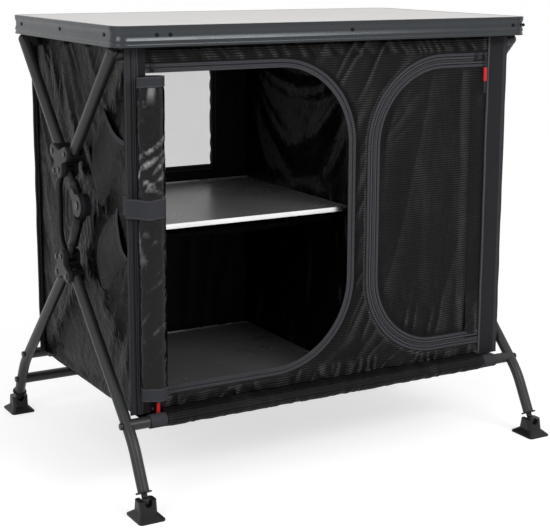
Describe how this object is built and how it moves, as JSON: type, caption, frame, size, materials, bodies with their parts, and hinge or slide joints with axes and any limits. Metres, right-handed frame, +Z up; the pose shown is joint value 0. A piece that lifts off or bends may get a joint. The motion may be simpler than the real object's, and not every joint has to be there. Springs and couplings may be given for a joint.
{
  "type": "camping kitchen unit",
  "caption": "Folding camping kitchen cupboard: framed worktop on X-ended tube frame, fabric sides, open shelved bay and zipped bay.",
  "frame": {"origin": "on the ground under the middle of the unit", "axes": "+X to the right along the worktop's length, +Y to the rear, +Z up; the doors face -Y"},
  "size_m": [0.91, 0.715, 0.84],
  "materials": {
    "worktop_laminate": "pale warm-grey laminate on a board core, matt",
    "anodised_rim": "anthracite anodised extrusion, satin",
    "frame_tube": "dark grey powder-coated tube, satin",
    "hub_plastic": "moulded glass-filled plastic, fine texture",
    "black_plastic": "moulded black plastic",
    "outer_fabric": "coated polyester with fine ribs",
    "lining_fabric": "black coated polyester, glossy",
    "binding_tape": "woven tape, grey-blue",
    "board_grey": "grey laminated board, satin",
    "bright_trim": "bright aluminium edging",
    "red_plastic": "red moulded plastic",
    "spring_plastic": "flexible nylon strip",
    "steel": "plated screw",
    "dark_steel": "blackened rivet or bolt"
  },
  "bodies": {
    "lower_frame": {"front_leg_left": "frame_tube", "front_leg_right": "frame_tube", "rear_leg_left": "frame_tube", "rear_leg_right": "frame_tube", "lower_hub_left": "hub_plastic", "lower_hub_right": "hub_plastic", "lower_fasteners": "dark_steel", "front_bottom_rail": "frame_tube", "rear_bottom_rail": "frame_tube", "rear_crossbar": "frame_tube", "rail_end_blocks": "black_plastic", "leg_plugs": "black_plastic", "floor_boards": "board_grey", "floor_edge_trims": "bright_trim", "floor_fabric": "lining_fabric", "front_panel": "outer_fabric", "rear_panel": "outer_fabric", "left_panel": "outer_fabric", "right_panel": "outer_fabric", "divider_panel": "lining_fabric", "rail_sleeves": "outer_fabric", "fabric_bindings": "binding_tape", "opening_tapes": "binding_tape", "left_door_roll": "lining_fabric", "roll_straps": "binding_tape", "side_pockets": "outer_fabric", "left_slider": "black_plastic", "spring_strips": "spring_plastic"},
    "upper_frame": {"front_struts": "frame_tube", "rear_struts": "frame_tube", "upper_hub_left": "hub_plastic", "upper_hub_right": "hub_plastic", "upper_hub_rivets": "dark_steel", "top_front_rail": "frame_tube", "top_rear_rail": "frame_tube", "zip_sliders": "black_plastic"},
    "worktop": {"worktop_panel": "worktop_laminate", "worktop_rim": "anodised_rim", "rim_screws": "steel", "worktop_cradles": "black_plastic"},
    "middle_shelf": {"shelf_boards": "board_grey", "shelf_edge_trims": "bright_trim", "shelf_hammocks": "lining_fabric"},
    "door": {"right_door": "outer_fabric", "right_door_tape": "binding_tape"},
    "slider": {"door_slider": "black_plastic"},
    "door_pull": {"door_pull": "red_plastic"},
    "left_pull": {"left_pull": "red_plastic"},
    "upper_link_left": {"upper_link_left": "hub_plastic", "knuckle_pin_left": "dark_steel"},
    "lower_link_left": {"lower_link_left": "hub_plastic"},
    "lock_button_left": {"lock_button_left": "red_plastic"},
    "front_foot_left": {"front_foot_left": "black_plastic"},
    "rear_foot_left": {"rear_foot_left": "black_plastic"},
    "upper_link_right": {"upper_link_right": "hub_plastic", "knuckle_pin_right": "dark_steel"},
    "lower_link_right": {"lower_link_right": "hub_plastic"},
    "lock_button_right": {"lock_button_right": "red_plastic"},
    "front_foot_right": {"front_foot_right": "black_plastic"},
    "rear_foot_right": {"rear_foot_right": "black_plastic"}
  },
  "joints": [
    {"name": "frame_fold", "type": "slide", "parent": "lower_frame", "child": "upper_frame", "axis": [0, 0, -1], "range_m": [0, 0.08], "deforming": ["front_panel", "rear_panel", "left_panel", "right_panel", "divider_panel", "fabric_bindings", "opening_tapes", "left_door_roll", "roll_straps", "side_pockets", "right_door", "right_door_tape", "spring_strips"]},
    {"name": "shelf_drop", "type": "slide", "parent": "lower_frame", "child": "middle_shelf", "axis": [0, 0, -1], "range_m": [0, 0.0403]},
    {"name": "worktop_lift", "type": "slide", "parent": "upper_frame", "child": "worktop", "axis": [0, 0, 1], "range_m": [0, 0.1]},
    {"name": "door_swing", "type": "hinge", "parent": "lower_frame", "child": "door", "pos_m": [0.328, -0.2292, 0.4745], "axis": [0, 0, 1], "range_deg": [0, 110]},
    {"name": "door_slider_run", "type": "slide", "parent": "upper_frame", "child": "slider", "axis": [-1, 0, 0], "range_m": [0, 0.09]},
    {"name": "door_pull_swing", "type": "hinge", "parent": "upper_frame", "child": "door_pull", "pos_m": [0.354, -0.23455, 0.7635], "axis": [-1, 0, 0], "range_deg": [0, 75]},
    {"name": "left_pull_swing", "type": "hinge", "parent": "lower_frame", "child": "left_pull", "pos_m": [-0.362, -0.23455, 0.1755], "axis": [-1, 0, 0], "range_deg": [0, 75]},
    {"name": "upper_link_turn_left", "type": "hinge", "parent": "upper_frame", "child": "upper_link_left", "pos_m": [-0.43, 0, 0.566], "axis": [-1, 0, 0], "range_deg": [0, 45.46]},
    {"name": "lower_link_turn_left", "type": "hinge", "parent": "lower_frame", "child": "lower_link_left", "pos_m": [-0.43, 0, 0.402], "axis": [1, 0, 0], "range_deg": [0, 13.07]},
    {"name": "lock_button_press_left", "type": "slide", "parent": "upper_frame", "child": "lock_button_left", "axis": [0, -0.7206, 0.6934], "range_m": [0, 0.003], "stiffness_N_per_m": 300},
    {"name": "front_foot_left_tilt", "type": "hinge", "parent": "lower_frame", "child": "front_foot_left", "pos_m": [-0.43, -0.326, 0.029], "axis": [1, 0, 0], "range_deg": [-15, 15]},
    {"name": "rear_foot_left_tilt", "type": "hinge", "parent": "lower_frame", "child": "rear_foot_left", "pos_m": [-0.43, 0.326, 0.029], "axis": [1, 0, 0], "range_deg": [-15, 15]},
    {"name": "upper_link_turn_right", "type": "hinge", "parent": "upper_frame", "child": "upper_link_right", "pos_m": [0.43, 0, 0.566], "axis": [-1, 0, 0], "range_deg": [0, 45.46]},
    {"name": "lower_link_turn_right", "type": "hinge", "parent": "lower_frame", "child": "lower_link_right", "pos_m": [0.43, 0, 0.402], "axis": [1, 0, 0], "range_deg": [0, 13.07]},
    {"name": "lock_button_press_right", "type": "slide", "parent": "upper_frame", "child": "lock_button_right", "axis": [0, -0.7206, 0.6934], "range_m": [0, 0.003], "stiffness_N_per_m": 300},
    {"name": "front_foot_right_tilt", "type": "hinge", "parent": "lower_frame", "child": "front_foot_right", "pos_m": [0.43, -0.326, 0.029], "axis": [1, 0, 0], "range_deg": [-15, 15]},
    {"name": "rear_foot_right_tilt", "type": "hinge", "parent": "lower_frame", "child": "rear_foot_right", "pos_m": [0.43, 0.326, 0.029], "axis": [1, 0, 0], "range_deg": [-15, 15]}
  ],
  "couplings": [
    {"joint": "shelf_drop", "follows": "frame_fold", "ratio": 0.5023},
    {"joint": "upper_link_turn_left", "follows": "frame_fold", "rad_per_m": 9.9065},
    {"joint": "lower_link_turn_left", "follows": "frame_fold", "rad_per_m": 2.8404},
    {"joint": "upper_link_turn_right", "follows": "frame_fold", "rad_per_m": 9.9065},
    {"joint": "lower_link_turn_right", "follows": "frame_fold", "rad_per_m": 2.8404}
  ]
}
